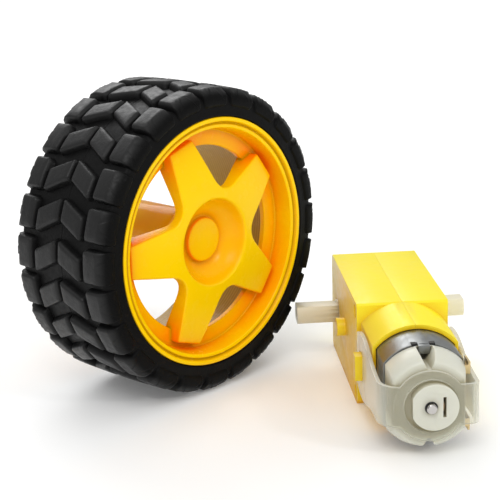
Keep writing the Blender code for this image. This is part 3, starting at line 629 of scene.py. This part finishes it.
# Tyre ------------------------------------------------------------------------------------------------


def carcass_curve():
    """Points of (axial, radius, slope in radians) each step of arc length from the tread's middle."""
    bead_rounding = 0.35
    points = []
    axial, radius = 0.0, TREAD_MIDDLE
    along = 0.0
    while radius > BEAD_RADIUS + bead_rounding:
        slope = CROWN_CURVE * along
        if along >= CROWN_HALF:
            bend = (along - CROWN_HALF) / SHOULDER_RADIUS
            slope = min(CROWN_CURVE * CROWN_HALF + bend, radians(SHOULDER_TURN))
        points.append((axial, radius, slope))
        axial += cos(slope) * CURVE_STEP
        radius -= sin(slope) * CURVE_STEP
        along += CURVE_STEP
    return points


CARCASS = carcass_curve()


def tread_point(angle, along, height):
    """A point over the carcass: angle in degrees, arc length along it, height above it.

    Blocks end flush with the side wall, and their shoulders are chamfered.
    """
    place = min(abs(along) / CURVE_STEP, len(CARCASS) - 1.001)
    k = int(place)
    t = place - k
    axial, radius, slope = (CARCASS[k][i] * (1 - t) + CARCASS[k + 1][i] * t for i in range(3))
    axial = min(axial + sin(slope) * height, SIDE_LEVEL)
    chamfer = CHAMFER_START[1] - CHAMFER_SLOPE * (axial - CHAMFER_START[0])
    radius = min(radius + cos(slope) * height, chamfer)
    side = 1 if along > 0 else -1
    return (radius * cos(radians(angle)), -side * axial, radius * sin(radians(angle)))


def tread_block(surface, corners, side, turn, fade):
    """A block on an outline of (along, angle, corner radius); fade gives its height at an arc length."""
    per_degree = BLOCK_MIDDLE_RADIUS * pi / 180
    outline = resampled(rounded([(p, q * per_degree, r) for p, q, r in corners], 5), 40)
    middle = Vector((sum(p[0] for p in outline), sum(p[1] for p in outline))) / len(outline)
    # How far in from the outline each ring lies, and how high.
    layers = [(-0.38, -0.25), (-0.12, 0.35), (0.0, 0.85), (0.13, 1.22), (0.36, 1.48), (0.62, BLOCK_HEIGHT)]
    rings = []
    for distance, height in layers:
        rings.append([(p, q, height) for p, q in inset(outline, distance)])
    top = rings[-1]
    for scale in (0.6, 0.25):
        rings.append([(middle.x + (p - middle.x) * scale, middle.y + (q - middle.y) * scale, h)
                      for p, q, h in top])
    rings.append([(middle.x, middle.y, BLOCK_HEIGHT)])
    surface.skin([[tread_point(q / per_degree + turn, side * p, h * fade(p) if h > 0 else h)
                   for p, q, h in ring] for ring in rings])


def shoulder_fade(along):
    """Full height on the crown, thinning to a tenth on the side wall."""
    return 1.0 - FADE_DEPTH * min(1.0, max(0.0, (along - FADE_START) / FADE_LENGTH))


def make_tyre(look):
    """A smooth carcass down to the beads, with two slanted and two outer rows of rounded blocks."""
    half = [point[:2] for point in CARCASS[2::3]]
    bead = [(13.42, BEAD_RADIUS + 0.15), (13.3, BEAD_RADIUS), (12.6, BEAD_RADIUS - 0.05)]
    side = [(0.1, TREAD_MIDDLE), *half, *bead]
    profile = [(0.0, TREAD_MIDDLE - 0.12), *side, *[(-a, r) for a, r in reversed(side)]]
    carcass = lathe("Y", [(-a, r) for a, r in profile], segments=288)

    surface = Surface()
    slanted = [(0.4, 5.2, 0.25), (6.85, 10.6, 0.5), (6.85, 19.5, 0.6), (0.4, 13.7, 0.45)]
    outer = [(7.8, 6.5, 0.9), (14.7, 6.5, 0.6), (14.7, 18.7, 0.6), (7.8, 18.7, 0.9)]
    for pitch in range(PITCHES):
        turn = 360 / PITCHES * pitch
        for way in (-1, 1):
            tread_block(surface, slanted, way, turn, lambda along: 1.0)
            tread_block(surface, outer, way, turn, shoulder_fade)
    blocks = surface.solid()
    show(merged(carcass, blocks), "tyre_tread", look, "wheel", ["tyre"], WHEEL, sharp=50)


# Rim -------------------------------------------------------------------------------------------------


def star_height(radius):
    """The star's front falls away from the bowl to the spokes' ends."""
    share = max(0.0, (radius - BOWL_RADIUS) / (SPOKE_END[0] - BOWL_RADIUS))
    return STAR_TOP - (STAR_TOP - STAR_EDGE) * share ** DOME_CURVE


def star_outline():
    """Tapered spokes with rounded inner corners between them, as evenly spaced points."""
    end, half = SPOKE_END
    corner_radius, crotch_radius = 0.5, 4.6
    corners = []
    step = 360 / SPOKES
    for k in range(SPOKES):
        spoke = FIRST_SPOKE + step * k
        turn = Matrix.Rotation(radians(spoke), 2)
        for across in (-half, half):
            corner = turn @ Vector((end, across))
            corners.append((corner.x, corner.y, corner_radius))
        angle = radians(spoke + step / 2)
        corners.append((CROTCH_REACH * cos(angle), CROTCH_REACH * sin(angle), crotch_radius))
    return resampled(rounded(corners, 14), 600)


def polar_ring(outline, share, radius):
    """The outline drawn in towards a circle by a share, 0 on the outline and 1 on the circle."""
    ring = []
    for p, q in outline:
        reach = sqrt(p * p + q * q)
        scale = (reach * (1 - share) + radius * share) / reach
        ring.append((p * scale, q * scale))
    return ring


def raised(ring, height=None):
    """Ring points at an outward height, or on the star's dome."""
    return [(p, -(star_height(sqrt(p * p + q * q)) if height is None else height), q) for p, q in ring]


def star_back(ring):
    """Ring points on the star's back, which lies deeper towards the spokes' ends."""
    inner, outer = STAR_BACK_REACH
    shallow, deep = STAR_BACK
    points = []
    for p, q in ring:
        share = max(0.0, (sqrt(p * p + q * q) - inner) / (outer - inner))
        points.append((p, -(shallow + (deep - shallow) * share), q))
    return points


def make_star(surface):
    """The star's sides, its rounded edge and its dome down into the bowl, and then its dished back."""
    outline = star_outline()
    edge = 0.4
    slices = 12
    rings = [star_back(outline)]
    for turn in (0, 30, 60, 90):
        drawn = inset(outline, edge * (1 - cos(radians(turn))))
        drop = edge * (1 - sin(radians(turn)))
        rings.append([(p, y + drop, q) for p, y, q in raised(drawn)])
    front = inset(outline, edge)
    for k in range(1, slices + 1):
        rings.append(raised(polar_ring(front, k / slices, BOWL_RADIUS)))
    bowl = [(9.38, 12.95), (9.22, 12.8), (9.05, 12.45), (8.85, 11.9), (8.5, 11.15), (8.0, 10.4), (7.35, 9.75),
            (6.6, 9.2), (5.85, 8.8), (5.3, 8.62), (5.0, 8.55), (4.82, 8.62), (4.74, 8.85), (4.72, 9.35),
            (4.64, 9.58), (4.45, 9.68), (4.1, PLUG_LEVEL)]
    for radius, height in bowl:
        rings.append(raised(polar_ring(front, 1, radius), height))
    rings.append([(0.0, -PLUG_LEVEL, 0.0)])
    surface.skin(rings)

    slices = 8
    back = [star_back(polar_ring(outline, k / slices, 10.3)) for k in range(slices + 1)]
    dish = ((9.9, 10.2), (9.2, 9.1), (8.3, 8.1), (7.3, 7.4), (6.4, 7.05), (5.2, DISH_LEVEL))
    for radius, height in dish:
        back.append(raised(polar_ring(outline, 1, radius), height))
    surface.skin([*back, [(0.0, -DISH_LEVEL, 0.0)]])


def flatted_bore(radius, half, steps=12):
    """A circle with flats above and below."""
    limit = degrees(asin(half / radius))
    return arc(radius, -limit, limit, steps) + arc(radius, 180 - limit, 180 + limit, steps)


def make_rim(look, shaded_look):
    """The barrel with its lip, groove and ledge, the star in it, and the hub behind the star."""
    ring = [(RIM_BACK, 26.2, 0.3), (12.7, 26.2, 0.1), (12.85, 26.42, 0.1), (13.4, 26.4, 0.35),
            (13.4, 25.55, 0.3), (12.5, 25.2, 0.08), (12.95, 24.8, 0.2), (12.85, 24.1, 0.35), (8.7, 23.4, 0.4),
            (8.6, 20.0, 0.3), (7.3, 20.0, 0.3), (6.7, 23.4, 0.8), (5.0, 24.7, 0.8), (RIM_BACK, 24.7, 0.3)]
    barrel = lathe("Y", [(-a, r) for a, r in rounded(ring, 5)], segments=240)
    surface = Surface()
    make_star(surface)
    star = surface.solid()
    hub = prism("Y", circle(HUB_RADIUS, 96), -DISH_LEVEL - 0.3, -RIM_BACK)
    bore_floor, bore_radius, bore_half = -3.0, 2.8, 2.0
    combine(hub, "DIFFERENCE", prism("Y", flatted_bore(bore_radius, bore_half), bore_floor, 14.5))
    softened(hub, 0.35, 3)
    collar_top, collar_end = -DISH_LEVEL - 0.2, -4.2
    collar = lathe("Y", [(collar_top, 0), (collar_top, 6.5), (collar_end, 6.1), (collar_end, 0)])
    show(merged(barrel, star), "rim_moulding", look, "wheel", ["rim"], WHEEL, sharp=48)
    show(merged(hub, collar), "rim_hub", shaded_look, "wheel", ["rim"], WHEEL, sharp=48)


# Strap -----------------------------------------------------------------------------------------------


def make_strap(look):
    """A bent sheet along both flats and round the motor's end, with a ring over the cap's boss."""
    inner, outer, front, rear = 8.8, 9.6, -0.9, -29.9
    thick = outer - inner
    beyond = outer + 2.4
    left, right = 4.4, 2.0
    section = [(-outer, front), *arc(left, 180, 270, 16, (-outer + left, rear + left)),
               *arc(right, 270, 360, 10, (outer - right, rear + right)), (outer, front), (inner, front),
               *arc(right - thick, 0, -90, 10, (outer - right, rear + right)),
               *arc(left - thick, 270, 180, 16, (-outer + left, rear + left)), (-inner, front)]
    strap = prism("Z", section, 0, BOX_HEIGHT)
    upper = smooth_curve([(0.5, 4.6), (-2.0, 5.9), (-5.0, 6.55), (-9.0, 6.6), (-12.5, 6.0), (-16.5, 4.9),
                          (-21.0, 4.25), (-26.0, 4.05), (-31.0, 4.0)])
    side = [(p, AXIS_Z + q) for p, q in upper] + [(p, AXIS_Z - q) for p, q in reversed(upper)]
    combine(strap, "INTERSECT", prism("X", side, -beyond, beyond))
    ring = prism("Y", circle(7.0, 96, (0.0, AXIS_Z)), rear, rear + thick)
    combine(strap, "UNION", ring)
    lug_room = rounded([(-8.3, 8.1, 0.4), (-4.7, 8.1, 0.4), (-4.7, 13.9, 0.4), (-8.3, 13.9, 0.4)])
    window = prism("X", lug_room, -beyond, beyond)
    hole = prism("Y", circle(5.2, 96, (0.2, AXIS_Z)), rear - PAST, rear + thick + PAST)
    combine(strap, "DIFFERENCE", window, hole)
    softened(strap, 0.2, 2)
    show(strap, "strap_sheet", look, "gear_motor", ["motor_strap"], MOTOR)


# Motor end --------------------------------------------------------------------------------------------


def flatted(radius, half, steps=24):
    """A circle about the rotor's axis with flats to the left and the right."""
    limit = degrees(asin(half / radius))
    above, below = (arc(radius, middle - limit, middle + limit, steps, (0, AXIS_Z)) for middle in (90, 270))
    return above + below


def make_cap(look, dark):
    """A moulded cup that tapers to the rear, with a V notch under each crimp tab, and a slotted boss."""
    body = Surface()
    stations = [(CAP_FRONT, 9.0, 7.0), (CAP_FRONT, 9.75, 7.45), (-24.6, 9.75, 7.45), (-26.2, 9.45, 7.3),
                (-27.5, 8.95, 7.1), (-28.3, 8.5, 6.9), (CAP_REAR, 8.0, 6.6)]
    rings = [[put("Y", x, z, y) for x, z in flatted(radius, half)] for y, radius, half in stations]
    body.skin([[(0, CAP_FRONT, AXIS_Z)], *rings, [(0, CAP_REAR, AXIS_Z)]])
    cap = body.solid()
    weld(cap)
    notches = []
    for way in (1, -1):
        tip, top = AXIS_Z + way * 6.9, AXIS_Z + way * 11
        notches.append(prism("Y", [(-0.35, tip), (0.35, tip), (2.3, top), (-2.3, top)], -30, CAP_FRONT - 0.1))
    boss = prism("Y", [p for p in circle(4.6, 128, (0.7, AXIS_Z)) if p[0] > -3.5], BOSS_REAR, -28.0)
    start, end = BOSS_REAR - 0.4, -25.0
    slot = box((2.25, start, AXIS_Z - 2.0), (2.85, end, AXIS_Z + 2.0))
    hole = prism("Y", circle(1.25, 48, (0, AXIS_Z)), start, end)
    combine(cap, "DIFFERENCE", *notches)
    combine(cap, "UNION", boss)
    combine(cap, "DIFFERENCE", slot, hole)
    softened(cap, 0.18, 2)
    show(cap, "end_cap_finished", look, "gear_motor", ["end_cap"], MOTOR)

    # Painted shade: dark pieces, not parts of the motor, that make the seam, the bearing and the relief slots
    # look deep.
    gap = prism("Y", flatted(9.55, 7.35), CAP_FRONT - 0.1, CAP_FRONT + 0.4)
    show(gap, "seam_shade", dark, "gear_motor", [], MOTOR)
    sleeve = lathe("Y", [(-30.45, 0.95), (-30.45, 1.3), (-29.0, 1.3), (-29.0, 0.95)], centre=(0, AXIS_Z))
    show(sleeve, "bearing_shade", dark, "gear_motor", [], MOTOR)
    relief_shade_fills = [box((x - 0.55, -22.3, AXIS_Z + 9.2), (x + 0.55, -21.2, AXIS_Z + 9.9)) for x in (-1.75, 1.75)]
    show(merged(*relief_shade_fills), "relief_shade", dark, "gear_motor", [], MOTOR)


# Stage -----------------------------------------------------------------------------------------------


def make_stage():
    """A pale floor, and a white sky that is brighter overhead than at the horizon."""
    shape = bmesh.new()
    half_width = 6.0
    bmesh.ops.create_grid(shape, x_segments=1, y_segments=1, size=half_width)
    floor = from_bmesh(shape)
    floor.name = "floor"
    look = Look("floor_white", (0.93, 0.93, 0.925), 0.8, specular=0.1)
    look.bump((look.noise(60, 2), 0.01))
    look.set("Emission Color", (1.0, 1.0, 1.0, 1.0))
    look.set("Emission Strength", 0.1)
    floor.data.materials.append(look.material)

    world = bpy.data.worlds.new("studio")
    world.use_nodes = True
    bpy.context.scene.world = world
    tree = world.node_tree
    background = tree.nodes["Background"]
    background.inputs["Color"].default_value = (1.0, 1.0, 1.0, 1.0)
    split = tree.nodes.new("ShaderNodeSeparateXYZ")
    tree.links.new(tree.nodes.new("ShaderNodeTexCoord").outputs["Generated"], split.inputs["Vector"])
    rise = tree.nodes.new("ShaderNodeMapRange")
    horizon, overhead = 0.38, 0.9
    for socket, value in (("From Min", 0.0), ("From Max", 1.0), ("To Min", horizon), ("To Max", overhead)):
        rise.inputs[socket].default_value = value
    tree.links.new(split.outputs["Z"], rise.inputs["Value"])
    tree.links.new(rise.outputs["Result"], background.inputs["Strength"])


def area_light(name, place, target, size, power):
    """A rectangular light that faces its target; lengths are in metres and the power is in watts."""
    light = bpy.data.lights.new(name, "AREA")
    light.shape = "RECTANGLE"
    light.size, light.size_y = size
    light.energy = power
    holder = bpy.data.objects.new(name, light)
    holder.location = place
    holder.rotation_euler = (Vector(target) - Vector(place)).to_track_quat("-Z", "Y").to_euler()
    bpy.context.scene.collection.objects.link(holder)


def make_camera():
    """Looks past the motor's end at the wheel's face; angles are in degrees and the place is in metres."""
    camera = bpy.data.objects.new("camera", bpy.data.cameras.new("camera"))
    camera.data.sensor_width = 36.0
    camera.data.lens = 106.7
    camera.data.clip_start = 0.01
    pitch, heading, roll = -15.857, -46.713, -1.729
    turn = Matrix.Rotation(radians(heading), 3, "Z") @ Matrix.Rotation(radians(90 + pitch), 3, "X")
    turn = turn @ Matrix.Rotation(radians(roll), 3, "Z")
    camera.matrix_world = Matrix.Translation((-0.223493, -0.192508, 0.115902)) @ turn.to_4x4()
    bpy.context.scene.collection.objects.link(camera)
    bpy.context.scene.camera = camera


def main():
    lemon = lemon_look()
    nylon = milky_look("shaft_nylon", (0.76, 0.72, 0.57))
    cap = milky_look("cap_nylon", (0.64, 0.64, 0.55))
    acetal = milky_look("gear_acetal", (0.88, 0.88, 0.84), depth=0.8)
    can = metal_look("can_zinc", (0.30, 0.31, 0.31), 0.4)
    zinc = metal_look("screw_zinc", (0.62, 0.62, 0.62), 0.3, 500, (1, 1, 1))
    steel = metal_look("ground_steel", (0.6, 0.58, 0.56), 0.22)
    brass = metal_look("tab_brass", (0.72, 0.56, 0.3), 0.32, 500, (1, 1, 1))
    bronze = plain_look("bush_bronze", (0.45, 0.31, 0.17), 0.5, 0.9)
    ferrite = plain_look("magnet_ferrite", (0.06, 0.06, 0.065), 0.7)
    iron = metal_look("core_iron", (0.3, 0.3, 0.31), 0.42, 900, (0.05, 1, 0.05), 0.02)
    copper = metal_look("winding_copper", (0.62, 0.25, 0.1), 0.3, 1200, (1, 0.05, 1), 0.05)
    resin = plain_look("commutator_resin", (0.16, 0.07, 0.03), 0.45)
    carbon = plain_look("brush_carbon", (0.03, 0.03, 0.03), 0.6)

    make_tyre(rubber_look())
    make_rim(yellow_look(), hub_shaded_look())
    make_strap(strap_look())
    for side in ("left", "right"):
        refined(f"gearbox_shell_{side}", lemon, "gear_motor", 0.3, share=seam_share)
    refined("motor_can", can, "gear_motor", 0.15)
    make_cap(cap, carbon)
    refined("output_shaft", nylon, "output", 0.15)
    refined("output_gear", nylon, "output", 0.12)

    carried = [("middle_gear", acetal), ("crown_gear", acetal), ("middle_pin", steel), ("crown_pin", steel),
               ("motor_shaft", steel), ("magnet_clip", steel), ("front_bush", bronze), ("rear_bush", bronze),
               ("magnet_upper", ferrite), ("magnet_lower", ferrite), ("terminal_upper", brass),
               ("terminal_lower", brass), ("motor_pinion", brass), ("brush_upper", carbon),
               ("brush_lower", carbon), ("armature_core", iron), ("commutator_sleeve", resin)]
    for number in (1, 2, 3):
        carried += [(f"case_screw_{number}", zinc), (f"winding_{number}", copper),
                    (f"commutator_segment_{number}", copper)]
    for node, look in carried:
        solid = frame["nodes"][node]
        solid.data.materials.clear()
        solid.data.materials.append(look)

    make_stage()
    area_light("key", (-0.55, -0.35, 0.75), (0.0, 0.0, 0.03), (0.5, 0.4), 2.4)
    area_light("fill", (0.05, -0.7, 0.4), (0.0, 0.0, 0.03), (0.09, 0.09), 0.95)
    area_light("top", (0.34, 0.58, 0.56), (0.0, 0.0, 0.04), (0.5, 0.45), 2.4)
    make_camera()
    bpy.context.scene.view_settings.view_transform = "Standard"


main()
